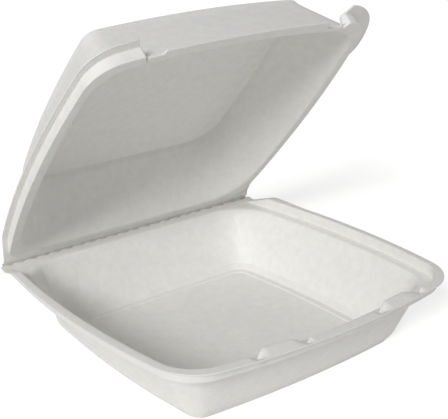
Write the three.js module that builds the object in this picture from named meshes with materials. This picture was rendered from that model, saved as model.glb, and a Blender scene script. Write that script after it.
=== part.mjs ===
// Hinged takeaway container in foamed polystyrene, standing open: a tray and its lid,
// pressed from one sheet and folded along a perforated crease at the back.
// Millimetres, +Z up, front towards -Y, origin in the middle of the tray's underside.
import * as THREE from 'three';

const RIM_WIDTH = 236; // over the tray's outer edge, side to side
const RIM_DEPTH = 230; // crease to the middle of the tray's front edge
const RIM_HEIGHT = 42.7; // ledge of the tray above the table
const CREASE_Y = 112.6; // crease behind the middle of the tray
const LID_OPEN = THREE.MathUtils.degToRad(49.15); // lid's angle from closed, as photographed
const SHEET = 2.4; // foam thickness
const EDGE = 1.2; // the outer edge is pressed thinner
const CLEAR = 0.3; // gap between the closed rims
const EDGE_GAP = 0.2; // each moulding's edge stops this far from the crease

const CREST = 7.4; // raised lip above the ledge
const LIP_DROP = 0.4; // outer edge of the lip below its crest
const LIP_STARTS = 9; // the lip is nothing this far in front of the crease
const LIP_FULL = 31; // and has its full height here
const LID_SOONER = 3.8; // the lid's lip rises this much sooner, to pass over the tray's
const WING_RIGHT = 7.6; // how far the outer edge widens again at the crease
const WING_LEFT = 0.4;
const WING_CORNER = 0.45; // share of the widening that ends close to the crease

const FLOOR_DEPTH = RIM_HEIGHT - SHEET; // edge of the tray floor below the ledge
const PANEL_DEPTH = FLOOR_DEPTH + 0.6; // sunk panel of the floor
const FLOOR_BEVEL = 3.6; // sloping band between wall and floor
const BELLY_DEPTH = RIM_HEIGHT - 7.2; // the outer wall turns under at this depth
const CROWN_HEIGHT = 40.4; // lid's inner face above its ledge
const BAND_FOOT = 36.9; // upright band below the crown starts here
const SHOULDER = 37.2; // outer wall of the lid turns in at this height

const PANEL_SLOPE = 0.9; // run of the step down to the sunk panel
const MOUTH_IN = 1.1; // the ledge turns down into the wall over this width
const MOUTH_DOWN = 2; // and this depth
const MOUTH_OUT = 0.5;

const CREST_WIDTH = 1.8; // flat top of the tray's lip and of its tabs
const TOE_IN = 1.6; // thickness of the tray's lip at its foot
const LIP_THICK = 3; // thickness of the tray's lip below its crest
const LID_LIP_IN = 1.4; // outer face of the lid's lip inside its inner crest
const LID_LIP_OVER = 1.6; // and above it
const LID_TOE_IN = 1.8; // outer face of the lid's lip inside its inner foot
// Share of the widening at the crease for the foot, the crest and the fold of the lips.
const FOOT_WIDE = 0.1;
const CREST_WIDE = { lid: 0.2, tray: 0.25, back: 0.35, under: 0.4 };
const FOLD_WIDE = 0.5;
const TAB_RISE = 1.5; // latch tabs above the lip
const TAB_DIP = 2.8; // cut-down lip beside the tabs
const TAB_LEAN = 3.3; // tabs lean back over the ledge
// Along the front from left to right: x, share of the rise or of the dip, share of the lean.
const TAB_EDGE = [
  [-66.2, 0, 0], [-60.6, -1, 0], [-54.5, 1, 1], [-35.9, 1, 1], [-27.4, -1, 0], [-25.2, -1, 0], [-24.1, 0, 0],
  [27.4, 0, 0], [33.1, -1, 0], [41, 1, 1], [57.9, 1, 1], [73, -1, 0], [74.3, -1, 0], [75.4, 0, 0],
];
const TAB_BACK = [
  [-66.2, 0, 0], [-60.6, -1, 0], [-58.6, -0.9, 0], [-54.5, 1, 1], [-35.9, 1, 1], [-27.4, -1, 0],
  [-25.2, -1, 0], [-24.1, 0, 0], [27.4, 0, 0], [33.1, -1, 0], [36.3, -0.9, 0.1], [38.8, 0, 0.5],
  [41, 1, 1], [57.9, 1, 1], [73, -1, 0], [74.3, -1, 0], [75.4, 0, 0],
];

const FRONT_EDGE = 220.4; // lid's plain front edge, in front of the crease
const FRONT_EDGE_BOW = 6; // it comes back this much over the first 100 mm to a side
const FRONT_IN = { foot: 1.2, crest: 0.8, fold: 0.4, outerCrest: 1.2, outerFoot: 3 }; // behind that edge
const NOTCH_IN = 1.2; // the same in the notches at most
const NOTCH_RUN = 1.5; // rounded step into a notch
// Half widths where a notch starts, where the lip's foot, crest and full width start, and its depth.
const NOTCH_LEFT = { from: 59.6, foot: 70.8, crest: 72.4, tip: 76.6, depth: 3.2 };
const NOTCH_RIGHT = { from: 65, foot: 80, crest: 84.2, tip: 89, depth: 5.6 };

// Thumb ear round the lid's front right corner, and the fold inside it: centre and radius.
const EAR = { x: 81.2, y: -181.6, radius: 40.4 };
const EAR_FOLD = { x: 85.5, y: -175.5, radius: 38 };
const EAR_BACK = 150; // the ear is nothing this far in front of the crease
const EAR_MERGE = 172; // and whole here
const FOLD_SHARE = 0.45; // fold's place between the lip's crest and edge

// An outline lies inside the rim's edge by its side and front, and in front of the crease by its back.
const outline = (side, front, back, frontRadius, backRadius, sideBow, frontBow) => ({
  half: RIM_WIDTH / 2 - side,
  front: front - RIM_DEPTH,
  back: -back,
  frontRadius,
  backRadius,
  sideBow,
  frontBow,
});
const OPENING = outline(13.2, 17.7, 11.2, 24.7, 32.4, 8, 10);
const TRAY = {
  panel: outline(42.5, 45.5, 39.5, 10, 9, 3.5, 4.2),
  floor: outline(37, 40.2, 35.4, 15, 14, 4, 4.6),
  wallFoot: outline(32.6, 35.7, 30.9, 16.6, 15.1, 4, 4.6),
  riser: outline(5.5, 7.4, 7, 26, 13, 10.2, 12.7),
  crest: outline(5.7, 6.5, 5, 28, 12, 10.2, 13.2),
  edge: outline(0, 0, EDGE_GAP, 33, 2, 12.2, 14.6),
  wallTop: outline(10.8, 16.2, 9, 27, 28, 8, 10),
  belly: outline(28.5, 32, 26, 13, 15, 5.5, 5.3),
  base: outline(34.4, 37.8, 31, 8, 10, 5, 4.7),
};
const LID = {
  crown: outline(34.9, 38.3, 37.2, 11, 22, 5, 4.3),
  bandFoot: outline(33.8, 37.5, 36, 12, 24, 5, 4.3),
  riser: outline(6, 8.6, 7.2, 24.4, 13, 10.2, 12.7),
  crest: outline(7.5, 7.6, 5.2, 23, 12, 10.4, 13.4),
  edge: outline(3.1, 1, EDGE_GAP, 24, 2, 11.7, 14.2),
  wallTop: outline(11.2, 15.7, 9.4, 22, 33, 8, 10),
  shoulder: outline(29, 32.8, 31.5, 12, 24, 6, 5.5),
  top: outline(30.7, 34.6, 32.5, 9.5, 22, 6, 5.5),
};

const { lerp, clamp } = THREE.MathUtils;
const ramp = (from, to, value) => clamp((value - from) / (to - from), 0, 1);
const smooth = (from, to, value) => {
  const t = ramp(from, to, value);
  return t * t * (3 - 2 * t);
};
const grow = (s, by) => ({
  ...s,
  half: s.half + by,
  front: s.front - by,
  back: Math.min(s.back + by, -EDGE_GAP),
  frontRadius: s.frontRadius + by,
  backRadius: s.backRadius + by,
});
const between = (a, b, share) => Object.fromEntries(Object.keys(a).map((k) => [k, lerp(a[k], b[k], share)]));

// Right half of an outline: bowed front, corner, bowed side, corner, straight back.
const STEPS = 60;
function halfOutline(s) {
  const middle = (s.front + s.back) / 2;
  const reach = (s.back - s.front) / 2;
  const sideRadius = (reach ** 2 + s.sideBow ** 2) / (2 * s.sideBow);
  const bowRadius = (s.half ** 2 + s.frontBow ** 2) / (2 * s.frontBow);
  const side = new THREE.Vector2(s.half - sideRadius, middle);
  const bow = new THREE.Vector2(0, s.front + bowRadius);
  const a = meet(side, sideRadius - s.frontRadius, bow, bowRadius - s.frontRadius);
  const b = new THREE.Vector2(0, s.back - s.backRadius);
  b.x = side.x + Math.sqrt((sideRadius - s.backRadius) ** 2 - (b.y - middle) ** 2);
  const path = new THREE.Path();
  const angle = (from, to) => Math.atan2(to.y - from.y, to.x - from.x);
  path.absarc(bow.x, bow.y, bowRadius, -Math.PI / 2, angle(bow, a));
  path.absarc(a.x, a.y, s.frontRadius, angle(bow, a), angle(side, a));
  path.absarc(side.x, side.y, sideRadius, angle(side, a), angle(side, b));
  path.absarc(b.x, b.y, s.backRadius, angle(side, b), Math.PI / 2);
  path.lineTo(0, s.back);
  return path.getPoints(STEPS);
}

// Lower right meeting point of two circles.
function meet(c1, r1, c2, r2) {
  const apart = c1.distanceTo(c2);
  const along = (r1 ** 2 - r2 ** 2 + apart ** 2) / (2 * apart);
  const off = Math.sqrt(r1 ** 2 - along ** 2);
  const u = c2.clone().sub(c1).divideScalar(apart);
  const p = c1.clone().addScaledVector(u, along);
  const q = [1, -1].map((k) => new THREE.Vector2(p.x - k * off * u.y, p.y + k * off * u.x));
  return q[0].x - q[0].y > q[1].x - q[1].y ? q[0] : q[1];
}

// Points of the right half: at the given widths along the front, then spread by length and by turn.
const ROUND = 44;
const LID_SHARE = 0.94; // widths along the front in the lid's inner and outer rings
const TURN_WEIGHT = 45; // millimetres that one radian of turn counts for
const wrap = (turn) => Math.atan2(Math.sin(turn), Math.cos(turn));
function stations(s, widths, share) {
  const line = halfOutline(s);
  const out = [];
  let i = 0;
  for (const width of widths) {
    const x = width * share;
    while (line[i + 1].x < x) i += 1;
    const t = (x - line[i].x) / (line[i + 1].x - line[i].x);
    out.push(line[i].clone().lerp(line[i + 1], t));
  }
  const apart = (p, k, all) => k === 0 || p.distanceTo(all[k - 1]) > 1e-3;
  const rest = [out[out.length - 1], ...line.slice(i + 1)].filter(apart);
  const weight = [0];
  let heading = null;
  for (let k = 1; k < rest.length; k += 1) {
    const step = rest[k].clone().sub(rest[k - 1]);
    const turn = heading === null ? 0 : Math.abs(wrap(step.angle() - heading));
    heading = step.angle();
    weight.push(weight[k - 1] + step.length() + TURN_WEIGHT * turn);
  }
  let j = 0;
  for (let k = 1; k <= ROUND; k += 1) {
    const goal = (weight[weight.length - 1] * k) / ROUND;
    while (j < rest.length - 2 && weight[j + 1] < goal) j += 1;
    const t = clamp((goal - weight[j]) / (weight[j + 1] - weight[j]), 0, 1);
    out.push(rest[j].clone().lerp(rest[j + 1], t));
  }
  return out;
}

// A whole ring of points at a height, with both halves put through the moulding's own shaping.
function ring(s, height, widths, share = 1, shaping = (p) => p) {
  const half = stations(s, widths, share);
  const right = half.map((p) => new THREE.Vector3(p.x, p.y, height));
  const left = half.slice(1, -1).reverse().map((p) => new THREE.Vector3(-p.x, p.y, height));
  return [...right, ...left].map(shaping);
}

// Closed solid from rings that run from the middle of one face over the rim to the middle of the other.
function skin(rings) {
  const count = rings[0].length;
  const centres = [rings[0], rings[rings.length - 1]].map((r) => (
    new THREE.Vector3(0, (r[0].y + r[count / 2].y) / 2, r[0].z)
  ));
  const points = [centres[0], ...rings.flat(), centres[1]];
  const last = points.length - 1;
  const index = [];
  for (let i = 0; i < count; i += 1) {
    const next = (i + 1) % count;
    index.push(0, 1 + i, 1 + next);
    for (let r = 0; r < rings.length - 1; r += 1) {
      const a = 1 + r * count + i;
      const b = 1 + r * count + next;
      index.push(a, a + count, b, b, a + count, b + count);
    }
    const end = 1 + (rings.length - 1) * count;
    index.push(last, end + next, end + i);
  }
  const geometry = new THREE.BufferGeometry().setFromPoints(points);
  geometry.setIndex(index);
  geometry.computeVertexNormals();
  return geometry;
}

// How much of the raised lip there is, going forward from the crease.
const lipShare = (y) => ramp(LIP_STARTS, LIP_FULL, -y);

// Outward shift of a lip point, growing again towards the crease.
function widen(p, share) {
  const by = (p.x > 0 ? WING_RIGHT : WING_LEFT) * share;
  const near = WING_CORNER * (1 - smooth(0, 9, -p.y)) + (1 - WING_CORNER) * (1 - smooth(25, 70, -p.y));
  return Math.sign(p.x) * by * near * smooth(60, 100, Math.abs(p.x));
}
const atFront = (y) => smooth(193, 203, -y);

// A column of the tab rows at x, straight between the rows.
function along(rows, x, column) {
  const k = rows.findIndex((row) => row[0] > x);
  if (k < 1) return 0;
  const [a, b] = [rows[k - 1], rows[k]];
  return lerp(a[column], b[column], (x - a[0]) / (b[0] - a[0]));
}

const trayLip = (height, wide, rows = [], reach = 1) => (p) => {
  const front = atFront(p.y) * reach;
  const share = along(rows, p.x, 1) * front;
  const lift = share > 0 ? TAB_RISE * share : TAB_DIP * share;
  return new THREE.Vector3(
    p.x + widen(p, wide),
    p.y + TAB_LEAN * along(rows, p.x, 2) * front,
    (height + lift) * lipShare(p.y) + p.z - height,
  );
};

function tray() {
  const marks = [...TAB_EDGE, ...TAB_BACK].map((row) => Math.abs(row[0]));
  const widths = [...new Set([0, 12, 82, 90, ...marks])].sort((a, b) => a - b);
  const low = (s, z) => ring(s, z, widths, s.half / OPENING.half);
  const edge = CREST - LIP_DROP;
  const under = edge - EDGE;
  const rings = [
    low(TRAY.panel, -PANEL_DEPTH),
    low(grow(TRAY.panel, PANEL_SLOPE), -FLOOR_DEPTH),
    low(TRAY.floor, -FLOOR_DEPTH),
    low(TRAY.wallFoot, FLOOR_BEVEL - FLOOR_DEPTH),
    ring(grow(OPENING, -MOUTH_IN), -MOUTH_DOWN, widths),
    ring(grow(OPENING, MOUTH_OUT), 0, widths),
    ring(TRAY.riser, 0, widths, 1, trayLip(0, FOOT_WIDE)),
    ring(TRAY.crest, CREST, widths, 1, trayLip(CREST, CREST_WIDE.tray, TAB_EDGE)),
    ring(grow(TRAY.crest, CREST_WIDTH), CREST, widths, 1, trayLip(CREST, CREST_WIDE.back, TAB_BACK)),
    ring(TRAY.edge, edge, widths, 1, trayLip(edge, 1)),
    ring(TRAY.edge, under, widths, 1, trayLip(edge, 1)),
    ring(grow(TRAY.crest, LIP_THICK), under, widths, 1, trayLip(edge, CREST_WIDE.under, TAB_BACK, 0.5)),
    ring(grow(TRAY.riser, TOE_IN), -EDGE, widths, 1, trayLip(0, FOOT_WIDE)),
    ring(grow(TRAY.riser, -1), -SHEET, widths, 1, trayLip(0, FOOT_WIDE)),
    ring(TRAY.wallTop, -SHEET, widths),
    low(TRAY.belly, -BELLY_DEPTH),
    low(TRAY.base, -RIM_HEIGHT),
  ];
  return skin(rings);
}

// Front of the lid: a plain edge between two notches, the lip on each side, the ear on the right.
const lidLip = (height, wide, inset, spread, circle = null) => (p) => {
  const front = atFront(p.y);
  const out = Math.abs(p.x);
  const n = p.x < 0 ? NOTCH_LEFT : NOTCH_RIGHT;
  const rise = ramp(n.foot, n.crest, out);
  const reach = smooth(n.crest, lerp(n.crest, n.tip, spread), out);
  const cut = smooth(n.from, n.from + NOTCH_RUN, out);
  const plain = -FRONT_EDGE + FRONT_EDGE_BOW * (p.x / 100) ** 2;
  const edge = plain + n.depth * cut + Math.min(inset, lerp(FRONT_IN.outerFoot, NOTCH_IN, cut));
  const q = new THREE.Vector3(
    p.x + widen(p, wide),
    lerp(p.y, lerp(edge, p.y, reach), front),
    height * lipShare(p.y - LID_SOONER) * lerp(1, rise, front),
  );
  if (circle !== null && p.x > 0) growEar(q, circle, reach * smooth(EAR_BACK, EAR_MERGE, -p.y));
  q.z += p.z - height;
  return q;
};

// Push a rim point out to the ear's round edge or fold.
function growEar(q, circle, share) {
  const off = new THREE.Vector2(q.x - circle.x, q.y - circle.y);
  off.setLength(Math.max(0, circle.radius - off.length()) * share);
  q.x += off.x;
  q.y += off.y;
}

function lid() {
  const marks = [NOTCH_LEFT, NOTCH_RIGHT].flatMap((n) => [
    n.from, n.from + NOTCH_RUN, n.foot, n.crest, (n.crest + n.tip) / 2, n.tip,
  ]);
  const widths = [0, 20, 40, ...marks].sort((a, b) => a - b);
  const low = (s, z) => ring(s, z, widths, Math.min(1, s.half / OPENING.half) * LID_SHARE);
  const base = CLEAR;
  const top = base + SHEET;
  const lift = CREST + CLEAR;
  const edge = lift - LIP_DROP;
  const fold = between(LID.crest, LID.edge, FOLD_SHARE);
  const foldLift = lift - LIP_DROP * FOLD_SHARE;
  const foldShape = lidLip(foldLift, FOLD_WIDE, FRONT_IN.fold, 0.5, EAR_FOLD);
  const edgeShape = lidLip(edge, 1, 0, 1, EAR);
  const outerCrest = lidLip(lift, CREST_WIDE.lid, FRONT_IN.outerCrest, 0.1);
  const rings = [
    low(LID.crown, CROWN_HEIGHT),
    low(LID.bandFoot, BAND_FOOT),
    low(grow(OPENING, -MOUTH_IN), base + MOUTH_DOWN),
    low(grow(OPENING, MOUTH_OUT), base),
    ring(LID.riser, base, widths, 1, lidLip(0, FOOT_WIDE, FRONT_IN.foot, 0.1)),
    ring(LID.crest, base + lift, widths, 1, lidLip(lift, CREST_WIDE.lid, FRONT_IN.crest, 0.1)),
    ring(fold, base + foldLift, widths, 1, foldShape),
    ring(LID.edge, base + edge, widths, 1, edgeShape),
    ring(LID.edge, base + edge + EDGE, widths, 1, edgeShape),
    ring(fold, base + foldLift + EDGE, widths, 1, foldShape),
    ring(grow(LID.crest, -LID_LIP_IN), base + lift + LID_LIP_OVER, widths, 1, outerCrest),
    ring(grow(LID.riser, -LID_TOE_IN), top, widths, 1, lidLip(0, FOOT_WIDE, FRONT_IN.outerFoot, 0.1)),
    low(LID.wallTop, top),
    low(LID.shoulder, SHOULDER),
    low(LID.top, CROWN_HEIGHT + SHEET),
  ];
  return skin(rings.reverse());
}

const foam = () => new THREE.MeshStandardMaterial({ color: 0xf4f3ef, roughness: 0.72, metalness: 0 });

const container = new THREE.Group();

const trayMesh = new THREE.Mesh(tray(), foam());
trayMesh.name = 'tray';
trayMesh.position.set(0, CREASE_Y, RIM_HEIGHT);
container.add(trayMesh);

const crease = new THREE.Group();
crease.position.set(0, CREASE_Y, RIM_HEIGHT + CLEAR / 2);
crease.rotation.x = -LID_OPEN;
const lidMesh = new THREE.Mesh(lid(), foam());
lidMesh.name = 'lid';
lidMesh.position.z = -CLEAR / 2;
crease.add(lidMesh);
container.add(crease);

export default container;
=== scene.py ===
import math

import bpy
import numpy as np
from mathutils import Matrix, Vector


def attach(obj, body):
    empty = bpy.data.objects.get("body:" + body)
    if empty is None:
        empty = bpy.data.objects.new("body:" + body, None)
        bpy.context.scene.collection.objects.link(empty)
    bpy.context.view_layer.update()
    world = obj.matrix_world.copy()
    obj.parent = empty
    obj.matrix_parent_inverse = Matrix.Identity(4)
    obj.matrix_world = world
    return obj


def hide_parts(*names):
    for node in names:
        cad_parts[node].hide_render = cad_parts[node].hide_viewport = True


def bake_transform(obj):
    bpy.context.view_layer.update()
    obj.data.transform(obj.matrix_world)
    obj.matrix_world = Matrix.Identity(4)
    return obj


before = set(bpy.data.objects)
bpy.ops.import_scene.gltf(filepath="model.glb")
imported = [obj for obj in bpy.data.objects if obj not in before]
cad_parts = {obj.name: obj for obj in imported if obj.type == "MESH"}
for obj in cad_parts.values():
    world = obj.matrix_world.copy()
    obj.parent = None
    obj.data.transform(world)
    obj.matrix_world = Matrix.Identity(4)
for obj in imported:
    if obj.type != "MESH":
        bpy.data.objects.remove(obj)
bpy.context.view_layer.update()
mm = 0.001

# Shared sizes in millimetres, from the crease: x to the right, y back, z up from the tray's ledge.
sheet = 2.4
rim = {"width": 236.0, "depth": 230.0, "height": 42.7, "edge": 1.2}
crease = {"y": 112.6, "gap": 0.2, "clear": 0.3}
lidOpen = math.radians(49.15)
lip = {"crest": 7.4, "drop": 0.4, "starts": 9.0, "full": 31.0, "lidSooner": 3.8}


# An outline lies inside the rim's edge by its side and front, and in front of the crease by its back.
def outline(side, front, back, frontRadius, backRadius, sideBow, frontBow):
    half = rim["width"] / 2 - side
    return np.array([half, front - rim["depth"], -back, frontRadius, backRadius, sideBow, frontBow])


opening = outline(13.2, 17.7, 11.2, 24.7, 32.4, 8.0, 10.0)
trayShapes = {
    "panel": outline(42.5, 45.5, 39.5, 10, 9, 3.5, 4.2),
    "floor": outline(37.0, 40.2, 35.4, 15, 14, 4.0, 4.6),
    "wallFoot": outline(32.6, 35.7, 30.9, 16.6, 15.1, 4.0, 4.6),
    "riser": outline(5.5, 7.4, 7.0, 26, 13, 10.2, 12.7),
    "crest": outline(5.7, 6.5, 5.0, 28, 12, 10.2, 13.2),
    "edge": outline(0.0, 0.0, crease["gap"], 33, 2, 12.2, 14.6),
    "wallTop": outline(10.8, 16.2, 9.0, 27, 28, 8.0, 10.0),
    "belly": outline(28.5, 32.0, 26.0, 13, 15, 5.5, 5.3),
    "base": outline(34.4, 37.8, 31.0, 8, 10, 5.0, 4.7),
}
lidShapes = {
    "crown": outline(34.9, 38.3, 37.2, 11, 22, 5.0, 4.3),
    "bandFoot": outline(33.8, 37.5, 36.0, 12, 24, 5.0, 4.3),
    "riser": outline(6.0, 8.6, 7.2, 24.4, 13, 10.2, 12.7),
    "crest": outline(7.5, 7.6, 5.2, 23, 12, 10.4, 13.4),
    "edge": outline(3.1, 1.0, crease["gap"], 24, 2, 11.7, 14.2),
    "wallTop": outline(11.2, 15.7, 9.4, 22, 33, 8.0, 10.0),
    "shoulder": outline(29.0, 32.8, 31.5, 12, 24, 6.0, 5.5),
    "top": outline(30.7, 34.6, 32.5, 9.5, 22, 6.0, 5.5),
}


def grow(s, by):
    out = s + by * np.array([1, -1, 1, 1, 1, 0, 0])
    out[2] = min(out[2], -crease["gap"])
    return out


def between(s, other, share):
    return s + (other - s) * share


def ramp(low, high, value):
    return np.clip((value - low) / (high - low), 0, 1)


def smooth(low, high, value):
    t = ramp(low, high, value)
    return t * t * (3 - 2 * t)


# Right half of an outline: bowed front, corner arc, bowed side, corner arc and a straight back.
# A bow of height b over a half chord c is an arc of radius (c^2 + b^2) / 2b.
def halfOutline(s, steps=240):
    half, front, back, frontRadius, backRadius, sideBow, frontBow = s
    middle = (front + back) / 2
    reach = (back - front) / 2
    sideRadius = (reach**2 + sideBow**2) / (2 * sideBow)
    bowRadius = (half**2 + frontBow**2) / (2 * frontBow)
    side = np.array([half - sideRadius, middle])
    bow = np.array([0.0, front + bowRadius])
    r1 = sideRadius - frontRadius
    r2 = bowRadius - frontRadius
    apart = bow - side
    gap = np.hypot(*apart)
    along = (r1**2 - r2**2 + gap**2) / (2 * gap)
    off = math.sqrt(r1**2 - along**2)
    foot = side + apart * along / gap
    across = np.array([-apart[1], apart[0]]) / gap
    a = max([foot + off * across, foot - off * across], key=lambda p: p[0] - p[1])
    by = back - backRadius
    b = np.array([side[0] + math.sqrt((sideRadius - backRadius) ** 2 - (by - middle) ** 2), by])

    def arc(centre, radius, start, end):
        t = np.linspace(start, end, steps)
        return centre + radius * np.stack([np.cos(t), np.sin(t)], 1)

    def angle(origin, p):
        return math.atan2(p[1] - origin[1], p[0] - origin[0])

    return np.concatenate([
        arc(bow, bowRadius, -math.pi / 2, angle(bow, a)),
        arc(a, frontRadius, angle(bow, a), angle(side, a))[1:],
        arc(side, sideRadius, angle(side, a), angle(side, b))[1:],
        arc(b, backRadius, angle(side, b), math.pi / 2)[1:],
        np.linspace([b[0], back], [0, back], steps)[1:],
    ])


# Points around the whole outline: evenly in x along the front, then by length and by turn,
# and denser at the crease.
around = {"front": 112, "frontReach": 90.0, "rest": 232, "turnWeight": 45.0, "creaseFrom": -12.0,
          "creaseWeight": 2.6}


def ringXY(s, share):
    line = halfOutline(s)
    x = np.linspace(0, around["frontReach"] * share, around["front"])
    cut = np.searchsorted(line[:, 0], x[-1])
    front = np.stack([x, np.interp(x, line[:cut + 1, 0], line[:cut + 1, 1])], 1)
    rest = np.concatenate([front[-1:], line[cut:]])
    step = np.diff(rest, axis=0)
    rest = rest[np.r_[True, np.hypot(*step.T) > 1e-6]]
    step = np.diff(rest, axis=0)
    heading = np.unwrap(np.arctan2(step[:, 1], step[:, 0]))
    turn = np.abs(np.diff(heading, prepend=heading[0]))
    length = np.hypot(*step.T) * np.where(rest[1:, 1] > around["creaseFrom"], around["creaseWeight"], 1)
    weight = np.r_[0, np.cumsum(length + around["turnWeight"] * turn)]
    goal = np.linspace(0, weight[-1], around["rest"] + 1)[1:]
    back = np.stack([np.interp(goal, weight, rest[:, i]) for i in (0, 1)], 1)
    right = np.concatenate([front, back])
    left = right[1:-1][::-1] * [-1, 1]
    return np.concatenate([right, left])


def ring(s, z, share=1.0, shaping=None):
    xy = ringXY(s, share)
    p = np.column_stack([xy, np.full(len(xy), float(z))])
    return p if shaping is None else shaping(p)


# Round the profile: each station's corner becomes a short parabola, and straight stretches get three rings.
# A station is its points, its corner radius and whether the sheet's cut edge is there.
rounding = {"rings": 5, "straight": (0.06, 0.5, 0.94), "most": 0.45}


def roundProfile(stations):
    rings = [stations[0][0]]
    cut = [0.0]
    t = np.linspace(0, 1, rounding["rings"])[:, None, None]
    straight = rounding["straight"]
    last = stations[0]
    for before, here, after in zip(stations, stations[1:], stations[2:]):
        point, radius, mark = here
        toBefore = before[0] - point
        toAfter = after[0] - point
        lengths = [np.maximum(np.linalg.norm(v, axis=1, keepdims=True), 1e-6) for v in (toBefore, toAfter)]
        reach = np.minimum(radius, rounding["most"] * np.minimum(*lengths))
        start = point + toBefore / lengths[0] * reach
        end = point + toAfter / lengths[1] * reach
        corner = (1 - t) ** 2 * start + 2 * t * (1 - t) * point + t**2 * end
        rings += [between(last[0], start, f) for f in straight] + list(corner)
        cut += [min(last[2], mark)] * len(straight) + [mark] * len(corner)
        last = (end, radius, mark)
    final = stations[-1][0]
    rings += [between(last[0], final, f) for f in straight] + [final]
    return np.array(rings), cut + [0.0] * (len(straight) + 1)


# Closed solid from rings that run from the middle of one face over the rim to the middle of the other.
def skin(name, profile, place):
    rings, cut = profile
    count, n = rings.shape[:2]
    centres = rings[[0, -1]].mean(1)
    centres[:, 0] = 0
    points = np.concatenate([rings.reshape(-1, 3), centres])
    at = np.arange(count * n).reshape(count, n)
    nxt = np.roll(at, -1, 1)
    quads = np.stack([at[:-1], at[1:], nxt[1:], nxt[:-1]], -1).reshape(-1, 4)
    first = np.stack([np.full(n, count * n), at[0], nxt[0]], -1)
    final = np.stack([np.full(n, count * n + 1), nxt[-1], at[-1]], -1)
    mesh = bpy.data.meshes.new(name)
    mesh.from_pydata(place(points) * mm, [], quads.tolist() + first.tolist() + final.tolist())
    mesh.shade_smooth()
    marks = mesh.attributes.new("cut", "FLOAT", "POINT")
    marks.data.foreach_set("value", np.r_[np.repeat(cut, n), 0, 0].astype(np.float32))
    mesh.validate()
    obj = bpy.data.objects.new(name, mesh)
    bpy.context.scene.collection.objects.link(obj)
    return obj


# Share of the lip's height at a distance in front of the crease.
def lipShare(y):
    return ramp(lip["starts"], lip["full"], -y)


# The outer edge widens again towards the crease, mostly at the right end.
wing = {"right": 7.6, "left": 0.4, "corner": 0.45, "cornerTo": 9, "from": 25, "to": 70,
        "inner": 60, "outer": 100}


def widen(x, y, share):
    by = np.where(x > 0, wing["right"], wing["left"]) * share
    corner = wing["corner"] * (1 - smooth(0, wing["cornerTo"], -y))
    rest = (1 - wing["corner"]) * (1 - smooth(wing["from"], wing["to"], -y))
    return np.sign(x) * by * (corner + rest) * smooth(wing["inner"], wing["outer"], np.abs(x))


# The tray's edge waves along the crease: depth (1 - cos(2 pi x / pitch)) / 2, fading at both ends.
wave = {"pitch": 9.55, "depth": 2.2, "fadeFrom": 99.0, "fadeTo": 104.0, "reach": 3.0}


def waveDepth(x):
    share = (1 - np.cos(2 * math.pi * x / wave["pitch"])) / 2
    return wave["depth"] * share * (1 - smooth(wave["fadeFrom"], wave["fadeTo"], np.abs(x)))


# What is shaped at the front starts here, in front of the crease, and is whole at the second value.
frontZone = (193, 203)


def atFront(y):
    return smooth(*frontZone, -y)


# Share of the widening for the foot, the crest and the fold of the lips.
wide = {"foot": 0.1, "lidCrest": 0.2, "trayCrest": 0.25, "back": 0.35, "under": 0.4, "fold": 0.5}


# Tray: two latch tabs on the front rim, each leaning back over the ledge between two cut-down dips.
# Rows are x, rise in shares of the tab's rise or the dip's depth, and lean in shares of the tab's lean.
tab = {"rise": 1.5, "dip": 2.8, "lean": 3.3}
tabEdge = np.array([
    (-66.2, 0, 0), (-60.6, -1, 0), (-54.5, 1, 1), (-35.9, 1, 1), (-27.4, -1, 0), (-25.2, -1, 0),
    (-24.1, 0, 0), (27.4, 0, 0), (33.1, -1, 0), (41.0, 1, 1), (57.9, 1, 1), (73.0, -1, 0),
    (74.3, -1, 0), (75.4, 0, 0),
], float)
tabBack = np.array([
    (-66.2, 0, 0), (-60.6, -1, 0), (-58.6, -0.9, 0), (-54.5, 1, 1), (-35.9, 1, 1), (-27.4, -1, 0),
    (-25.2, -1, 0), (-24.1, 0, 0), (27.4, 0, 0), (33.1, -1, 0), (36.3, -0.9, 0.1), (38.8, 0, 0.5),
    (41.0, 1, 1), (57.9, 1, 1), (73.0, -1, 0), (74.3, -1, 0), (75.4, 0, 0),
], float)
tray = {"panelStep": 0.6, "panelSlope": 0.9, "bevel": 3.6, "turnUnder": 7.2, "crestWidth": 1.8,
        "lipThick": 3.0, "toeIn": 1.6, "footIn": 1.0, "tabUnder": 0.5, "flatRun": 2.5}


def trayLip(height, spread, rows=None, reach=1.0, waves=0.0):
    def shaping(p):
        x, y, z = p.T
        lift = np.zeros(len(x))
        lean = np.zeros(len(x))
        if rows is not None:
            share = np.interp(x, rows[:, 0], rows[:, 1]) * atFront(y) * reach
            lift = np.where(share > 0, tab["rise"], tab["dip"]) * share
            lean = np.interp(x, rows[:, 0], rows[:, 2]) * atFront(y) * tab["lean"] * reach
        back = y + lean - waves * waveDepth(x) * ramp(-wave["reach"], -2 * crease["gap"], y)
        return np.column_stack([x + widen(x, y, spread), back, (height + lift) * lipShare(y) + z - height])
    return shaping


def toTray(p):
    return p + [0, crease["y"], rim["height"]]


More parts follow.
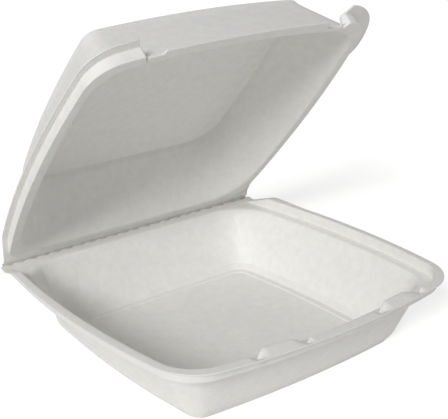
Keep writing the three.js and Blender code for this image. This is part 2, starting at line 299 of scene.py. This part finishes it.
def buildTray():
    s = trayShapes
    crest = lip["crest"]
    edge = crest - lip["drop"]
    under = edge - rim["edge"]
    floorDepth = rim["height"] - sheet

    def low(shape, z):
        return ring(shape, z, shape[0] / opening[0])

    foot = trayLip(0, wide["foot"])
    crestShape = trayLip(crest, wide["trayCrest"], tabEdge)
    backShape = trayLip(crest, wide["back"], tabBack)
    edgeShape = trayLip(edge, 1, waves=1)
    underShape = trayLip(edge, wide["under"], tabBack, tray["tabUnder"])
    stations = [
        (low(grow(s["panel"], -tray["flatRun"]), -floorDepth - tray["panelStep"]), 0, 0),
        (low(s["panel"], -floorDepth - tray["panelStep"]), 0.25, 0),
        (low(grow(s["panel"], tray["panelSlope"]), -floorDepth), 0.25, 0),
        (low(s["floor"], -floorDepth), 0.5, 0),
        (low(s["wallFoot"], tray["bevel"] - floorDepth), 0.4, 0),
        (ring(opening, 0), 2.2, 0),
        (ring(s["riser"], 0, shaping=foot), 0.6, 0),
        (ring(s["crest"], crest, shaping=crestShape), 0.6, 0),
        (ring(grow(s["crest"], tray["crestWidth"]), crest, shaping=backShape), 0.6, 0),
        (ring(s["edge"], edge, shaping=edgeShape), 0.4, 1),
        (ring(s["edge"], under, shaping=edgeShape), 0.4, 1),
        (ring(grow(s["crest"], tray["lipThick"]), under, shaping=underShape), 1.4, 0),
        (ring(grow(s["riser"], tray["toeIn"]), -rim["edge"], shaping=foot), 2.0, 0),
        (ring(grow(s["riser"], -tray["footIn"]), -sheet, shaping=foot), 2.0, 0),
        (ring(s["wallTop"], -sheet), 1.6, 0),
        (low(s["belly"], tray["turnUnder"] - rim["height"]), 3.0, 0),
        (low(s["base"], -rim["height"]), 0.8, 0),
        (low(grow(s["base"], -tray["flatRun"]), -rim["height"]), 0, 0),
    ]
    return skin("trayFoam", roundProfile(stations), toTray)


# Lid: a plain front edge between two notches, the lip on both sides and the ear at the right corner.
# A notch runs from the plain edge's end to the lip's foot; the lip is at full height from its crest's end
# and at full width from its tip.
plainEdge = {"front": 220.4, "bow": 6.0}
notchRun = 1.5
# How far the other lines of the front lie behind that edge, and at most in the notches.
behind = {"foot": 1.2, "crest": 0.8, "fold": 0.4, "outerCrest": 1.2, "outerFoot": 3.0, "notch": 1.2}
# Where the lip's lines reach their full width, as a share of the way from the crest's end to the tip.
fullAt = {"crest": 0.1, "fold": 0.5, "edge": 1}
notches = {
    "left": {"from": 59.6, "foot": 70.8, "crest": 72.4, "tip": 76.6, "depth": 3.2},
    "right": {"from": 65.0, "foot": 80.0, "crest": 84.2, "tip": 89.0, "depth": 5.6},
}
ear = {"x": 81.2, "y": -181.6, "radius": 40.4, "back": -150.0, "merge": -172.0}
earFold = {"x": 85.5, "y": -175.5, "radius": 38.0}
lid = {"crown": 40.4, "bandFoot": 36.9, "shoulder": 37.2, "foldShare": 0.45, "flatRun": 3.0,
       "lipIn": 1.4, "lipOver": 1.6, "toeIn": 1.8, "narrow": 0.94}


def lidLip(height, spread, inset, share, circle=None):
    def shaping(p):
        x, y, z = p.T
        front = atFront(y)
        out = np.abs(x)
        n = {key: np.where(x < 0, notches["left"][key], notches["right"][key]) for key in notches["left"]}
        rise = ramp(n["foot"], n["crest"], out)
        reach = smooth(n["crest"], n["crest"] + (n["tip"] - n["crest"]) * share, out)
        cut = smooth(n["from"], n["from"] + notchRun, out)
        edge = -plainEdge["front"] + plainEdge["bow"] * (x / 100) ** 2
        edge = edge + n["depth"] * cut + np.minimum(inset, between(behind["outerFoot"], behind["notch"], cut))
        kept = edge + (y - edge) * reach
        q = np.column_stack([
            x + widen(x, y, spread),
            y + (kept - y) * front,
            height * lipShare(y - lip["lidSooner"]) * (1 + (rise - 1) * front),
        ])
        if circle is not None:
            off = q[:, :2] - [circle["x"], circle["y"]]
            length = np.maximum(np.hypot(*off.T), 1e-6)
            fade = reach * (x > 0) * smooth(-ear["back"], -ear["merge"], -y)
            q[:, :2] += off / length[:, None] * (np.maximum(0, circle["radius"] - length) * fade)[:, None]
        q[:, 2] += z - height
        return q
    return shaping


# The closed lid turned back about the crease: y' = y cos t + z sin t, z' = z cos t - y sin t.
def toLid(p):
    axis = crease["clear"] / 2
    y = p[:, 1]
    z = p[:, 2] - axis
    c, s = math.cos(lidOpen), math.sin(lidOpen)
    return np.column_stack([p[:, 0], y * c + z * s + crease["y"], z * c - y * s + axis + rim["height"]])


def buildLid():
    s = lidShapes
    base = crease["clear"]
    top = base + sheet
    lift = lip["crest"] + crease["clear"]
    edge = lift - lip["drop"]
    fold = between(s["crest"], s["edge"], lid["foldShare"])
    foldLift = lift - lip["drop"] * lid["foldShare"]

    def low(shape, z):
        return ring(shape, z, min(1, shape[0] / opening[0]) * lid["narrow"])

    foot = lidLip(0, wide["foot"], behind["foot"], fullAt["crest"])
    crestShape = lidLip(lift, wide["lidCrest"], behind["crest"], fullAt["crest"])
    foldShape = lidLip(foldLift, wide["fold"], behind["fold"], fullAt["fold"], earFold)
    edgeShape = lidLip(edge, 1, 0, fullAt["edge"], ear)
    outerCrest = lidLip(lift, wide["lidCrest"], behind["outerCrest"], fullAt["crest"])
    outerFoot = lidLip(0, wide["foot"], behind["outerFoot"], fullAt["crest"])
    stations = [
        (low(grow(s["crown"], -lid["flatRun"]), lid["crown"]), 0, 0),
        (low(s["crown"], lid["crown"]), 0.25, 0),
        (low(s["bandFoot"], lid["bandFoot"]), 0.3, 0),
        (low(opening, base), 2.2, 0),
        (ring(s["riser"], base, shaping=foot), 0.6, 0),
        (ring(s["crest"], base + lift, shaping=crestShape), 0.6, 0),
        (ring(fold, base + foldLift, shaping=foldShape), 0.5, 0),
        (ring(s["edge"], base + edge, shaping=edgeShape), 0.4, 1),
        (ring(s["edge"], base + edge + rim["edge"], shaping=edgeShape), 0.4, 1),
        (ring(fold, base + foldLift + rim["edge"], shaping=foldShape), 0.5, 0),
        (ring(grow(s["crest"], -lid["lipIn"]), base + lift + lid["lipOver"], shaping=outerCrest), 0.8, 0),
        (ring(grow(s["riser"], -lid["toeIn"]), top, shaping=outerFoot), 0.8, 0),
        (low(s["wallTop"], top), 1.4, 0),
        (low(s["shoulder"], lid["shoulder"]), 1.6, 0),
        (low(s["top"], lid["crown"] + sheet), 1.2, 0),
        (low(grow(s["top"], -lid["flatRun"]), lid["crown"] + sheet), 0, 0),
    ]
    return skin("lidFoam", roundProfile(stations[::-1]), toLid)


# Web of the crease: a thin pressed strip from inside the tray's waving edge to inside the lid's edge.
# Its section is a flat loop round the line from one to the other.
web = {"left": -104.6, "right": 110.5, "count": 760, "half": 0.22, "into": 0.5, "under": 0.04, "sag": 0.05,
       "across": 7}


def buildWeb():
    x = np.linspace(web["left"], web["right"], web["count"])
    middle = rim["edge"] - web["half"] - web["under"]
    one = np.ones_like(x)
    fromTray = toTray(np.column_stack([x, -crease["gap"] - waveDepth(x) - web["into"], -middle * one]))
    lidSide = [x, -(crease["gap"] + web["into"]) * one, (crease["clear"] + middle) * one]
    toEdge = toLid(np.column_stack(lidSide))
    run = toEdge - fromTray
    length = np.hypot(run[:, 1], run[:, 2])
    normal = np.column_stack([0 * x, -run[:, 2] / length, run[:, 1] / length])
    t = np.linspace(0, 1, web["across"])[:, None, None]
    line = fromTray + run * t - normal * web["sag"] * np.sin(math.pi * t)
    loop = np.concatenate([line + normal * web["half"], (line - normal * web["half"])[::-1]])
    n, m = web["count"], len(loop)
    points = loop.transpose(1, 0, 2).reshape(-1, 3)
    at = np.arange(n * m).reshape(n, m)
    nxt = np.roll(at, -1, 1)
    quads = np.stack([at[:-1], at[1:], nxt[1:], nxt[:-1]], -1).reshape(-1, 4)
    caps = [at[0].tolist(), at[-1][::-1].tolist()]
    mesh = bpy.data.meshes.new("web")
    mesh.from_pydata(points * mm, [], quads.tolist() + caps)
    mesh.validate()
    mesh.shade_smooth()
    obj = bpy.data.objects.new("web", mesh)
    bpy.context.scene.collection.objects.link(obj)
    middleAt = n // 2
    return obj, fromTray[middleAt] * mm, toEdge[middleAt] * mm


def srgb(code):
    parts = [int(code[i:i + 2], 16) / 255 for i in (1, 3, 5)]
    return [p / 12.92 if p <= 0.04045 else ((p + 0.055) / 1.055) ** 2.4 for p in parts] + [1.0]


def addNode(tree, kind, settings=None, links=None):
    node = tree.nodes.new(kind)
    for key, value in (settings or {}).items():
        if isinstance(key, int) or key in node.inputs:
            node.inputs[key].default_value = value
        else:
            setattr(node, key, value)
    for key, source in (links or {}).items():
        tree.links.new(source, node.inputs[key])
    return node


def newMaterial(name):
    material = bpy.data.materials.new(name)
    material.use_nodes = True
    tree = material.node_tree
    tree.nodes.clear()
    return material, tree


# Foamed polystyrene sheet: a satin skin over closed cells, with faint streaks, mottling and a slow sway,
# and small open cells on the cut edge, painted darker in their pits as painted shade.
def foamMaterial(name, dark, light):
    material, tree = newMaterial(name)
    size = {"skinCell": 0.9 * mm, "openCell": 0.55 * mm, "streak": 2.4 * mm, "mottle": 5.5 * mm,
            "sway": 26 * mm}
    relief = {"cells": 0.05 * mm, "uneven": 0.04 * mm, "sway": 0.1 * mm}
    place = addNode(tree, "ShaderNodeTexCoord").outputs["Object"]
    drawn = addNode(tree, "ShaderNodeMapping", {"Scale": (1.0, 0.28, 0.28)}, {"Vector": place}).outputs[0]
    cut = addNode(tree, "ShaderNodeAttribute", {"attribute_name": "cut"}).outputs["Fac"]
    cells = addNode(tree, "ShaderNodeTexVoronoi", {"feature": "SMOOTH_F1", "Scale": 1 / size["skinCell"]},
                    {"Vector": place})
    pores = addNode(tree, "ShaderNodeTexVoronoi", {"Scale": 1 / size["openCell"]}, {"Vector": place})
    streaks = addNode(tree, "ShaderNodeTexNoise", {"Scale": 1 / size["streak"], "Detail": 3.0},
                      {"Vector": drawn})
    mottles = addNode(tree, "ShaderNodeTexNoise",
                      {"Scale": 1 / size["mottle"], "Detail": 4.0, "Roughness": 0.55}, {"Vector": place})
    swaying = addNode(tree, "ShaderNodeTexNoise", {"Scale": 1 / size["sway"], "Detail": 1.0},
                      {"Vector": place})
    speck = addNode(tree, "ShaderNodeMath", {"operation": "MULTIPLY_ADD", 1: 0.35},
                    {0: streaks.outputs["Fac"], 2: mottles.outputs["Fac"]})
    tone = addNode(tree, "ShaderNodeValToRGB", {}, {"Fac": speck.outputs[0]})
    tone.color_ramp.elements[0].position = 0.45
    tone.color_ramp.elements[0].color = srgb(dark)
    tone.color_ramp.elements[1].position = 0.9
    tone.color_ramp.elements[1].color = srgb(light)
    # Cut edge colour: the pits of the open cells are painted darker, which is painted shade in the hollows.
    poreShadeTone = addNode(tree, "ShaderNodeValToRGB", {}, {"Fac": pores.outputs["Distance"]})
    poreShadeTone.color_ramp.elements[0].color = srgb("#dddcd8")
    poreShadeTone.color_ramp.elements[1].color = srgb("#f4f3f0")
    colour = addNode(tree, "ShaderNodeMix", {"data_type": "RGBA"},
                     {"Factor": cut, 6: tone.outputs["Color"], 7: poreShadeTone.outputs["Color"]})
    height = addNode(tree, "ShaderNodeMix", {"data_type": "FLOAT"},
                     {"Factor": cut, 2: cells.outputs["Distance"], 3: pores.outputs["Distance"]})
    wavy = addNode(tree, "ShaderNodeBump", {"Strength": 1.0, "Distance": relief["sway"]},
                   {"Height": swaying.outputs["Fac"]})
    uneven = addNode(tree, "ShaderNodeBump", {"Strength": 0.5, "Distance": relief["uneven"]},
                     {"Height": speck.outputs[0], "Normal": wavy.outputs["Normal"]})
    fine = addNode(tree, "ShaderNodeBump", {"Strength": 0.5, "Distance": relief["cells"]},
                   {"Height": height.outputs[0], "Normal": uneven.outputs["Normal"]})
    rough = addNode(tree, "ShaderNodeMapRange", {"To Min": 0.42, "To Max": 0.6},
                    {"Value": mottles.outputs["Fac"]})
    body = addNode(tree, "ShaderNodeBsdfPrincipled",
                   {"Subsurface Weight": 0.1, "Subsurface Scale": 1.2 * mm, "IOR": 1.45},
                   {"Base Color": colour.outputs[2], "Roughness": rough.outputs["Result"],
                    "Normal": fine.outputs["Normal"]})
    addNode(tree, "ShaderNodeOutputMaterial", {}, {"Surface": body.outputs["BSDF"]})
    return material


# White paper under the container. The camera sees it a little lighter than the light on it makes it.
paper = {"grain": 30 * mm, "lift": 0.5, "reach": 4.0}


def buildFloor():
    material, tree = newMaterial("paper")
    place = addNode(tree, "ShaderNodeTexCoord").outputs["Object"]
    grain = addNode(tree, "ShaderNodeTexNoise", {"Scale": 1 / paper["grain"], "Detail": 3.0},
                    {"Vector": place})
    tone = addNode(tree, "ShaderNodeValToRGB", {}, {"Fac": grain.outputs["Fac"]})
    tone.color_ramp.elements[0].color = srgb("#f8f8f7")
    tone.color_ramp.elements[1].color = srgb("#fbfbfa")
    body = addNode(tree, "ShaderNodeBsdfPrincipled", {"Roughness": 0.9},
                   {"Base Color": tone.outputs["Color"]})
    seen = addNode(tree, "ShaderNodeLightPath").outputs["Is Camera Ray"]
    glow = addNode(tree, "ShaderNodeMath", {"operation": "MULTIPLY", 1: paper["lift"]}, {0: seen})
    tree.links.new(glow.outputs[0], body.inputs["Emission Strength"])
    body.inputs["Emission Color"].default_value = srgb("#ffffff")
    addNode(tree, "ShaderNodeOutputMaterial", {}, {"Surface": body.outputs["BSDF"]})
    r = paper["reach"]
    mesh = bpy.data.meshes.new("floor")
    corners = [(-r, -r, 0), (r, -r, 0), (r, r, 0), (-r, r, 0)]
    mesh.from_pydata(corners, [], [(0, 1, 2, 3)])
    mesh.materials.append(material)
    floor = bpy.data.objects.new("floor", mesh)
    bpy.context.scene.collection.objects.link(floor)


# A large soft lamp from the front left, and even light from all round.
light = {"power": 1.72, "angle": 16, "from": (-0.75, -0.45, 0.5), "around": 0.36}


def addLight():
    sun = bpy.data.lights.new("sun", "SUN")
    sun.energy = light["power"]
    sun.angle = math.radians(light["angle"])
    lamp = bpy.data.objects.new("sun", sun)
    lamp.rotation_euler = Vector(light["from"]).to_track_quat("Z", "Y").to_euler()
    bpy.context.scene.collection.objects.link(lamp)
    world = bpy.data.worlds.new("studio")
    bpy.context.scene.world = world
    world.use_nodes = True
    sky = world.node_tree.nodes["Background"]
    sky.inputs["Color"].default_value = srgb("#ffffff")
    sky.inputs["Strength"].default_value = light["around"]


# Camera in front on the left, a little above, with a long lens.
view = {"azimuth": -37.76, "elevation": 20.5, "roll": -0.98, "distance": 708.67,
        "aim": 110, "right": 1.94, "up": 44.36, "focal": 1063.54, "width": 448, "height": 419, "sensor": 36}


def addCamera():
    a, e, r = (math.radians(view[k]) for k in ("azimuth", "elevation", "roll"))
    back = Vector((math.sin(a) * math.cos(e), -math.cos(a) * math.cos(e), math.sin(e)))
    level = Vector((math.cos(a), math.sin(a), 0))
    rise = back.cross(level)
    right = level * math.cos(r) + rise * math.sin(r)
    up = rise * math.cos(r) - level * math.sin(r)
    aim = Vector((0, crease["y"] - view["aim"], rim["height"]))
    spot = (aim + back * view["distance"] + right * view["right"] + up * view["up"]) * mm
    data = bpy.data.cameras.new("camera")
    data.sensor_width = view["sensor"]
    data.lens = view["focal"] / view["width"] * data.sensor_width
    camera = bpy.data.objects.new("camera", data)
    camera.matrix_world = Matrix.Translation(spot) @ Matrix((right, up, back)).transposed().to_4x4()
    bpy.context.scene.collection.objects.link(camera)
    bpy.context.scene.camera = camera


foam = foamMaterial("foam", "#edece9", "#f4f3f0")
# Web of the crease: pressed foam's tone, made much darker than the sheet so the wavy crease reads as a dark
# line; that darkness is painted shade.
pressedFoamPaintedShade = foamMaterial("pressedFoamPaintedShade", "#bdbbb4", "#cbc9c3")
print("building the tray")
trayFoam = buildTray()
trayFoam.data.materials.append(foam)
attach(trayFoam, "tray")
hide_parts("tray")

print("building the lid")
lidFoam = buildLid()
lidFoam.data.materials.append(foam)
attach(lidFoam, "lid")
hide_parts("lid")

print("building the web of the crease")
webFoam, webStart, webEnd = buildWeb()
webFoam.data.materials.append(pressedFoamPaintedShade)
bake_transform(webFoam)

print("floor, light and camera")
buildFloor()
addLight()
addCamera()
scene = bpy.context.scene
scene.render.engine = "CYCLES"
scene.cycles.samples = 160
scene.render.resolution_x = view["width"]
scene.render.resolution_y = view["height"]
scene.view_settings.view_transform = "Standard"
